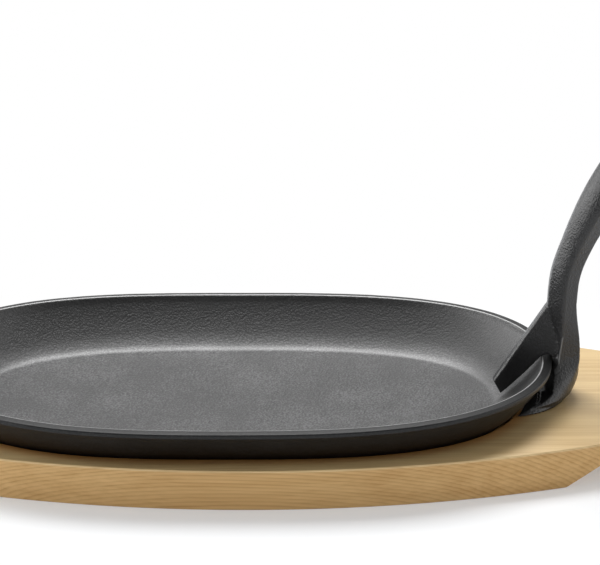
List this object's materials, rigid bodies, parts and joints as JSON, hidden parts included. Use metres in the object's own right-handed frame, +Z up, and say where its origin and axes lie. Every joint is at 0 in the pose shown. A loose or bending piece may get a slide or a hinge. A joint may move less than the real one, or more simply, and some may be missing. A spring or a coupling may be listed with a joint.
{
  "type": "sizzle platter",
  "caption": "Oval cast iron platter seated in a recessed wooden board, with a lift-off cast iron handle hooked over one end of its rim.",
  "frame": {"origin": "centre of the board's flat underside", "axes": "+X along the board towards the handle, +Y across it, +Z up"},
  "size_m": [0.38, 0.168, 0.1493],
  "materials": {
    "board_wood": "pale maple, sanded, fine grain along the board, thin matt oil",
    "platter_iron": "pre-seasoned cast iron, satin, finely pebbled",
    "handle_iron": "pre-seasoned cast iron, pebbled grip with a smoother back"
  },
  "bodies": {
    "board": {"board": "board_wood"},
    "platter": {"platter": "platter_iron"},
    "handle": {"handle": "handle_iron"}
  },
  "joints": [
    {"name": "platter_lift", "type": "slide", "parent": "board", "child": "platter", "axis": [0, 0, 1], "range_m": [0, 0.06]},
    {"name": "handle_lift", "type": "slide", "parent": "platter", "child": "handle", "axis": [0.682, 0, 0.7314], "range_m": [0, 0.06]}
  ]
}
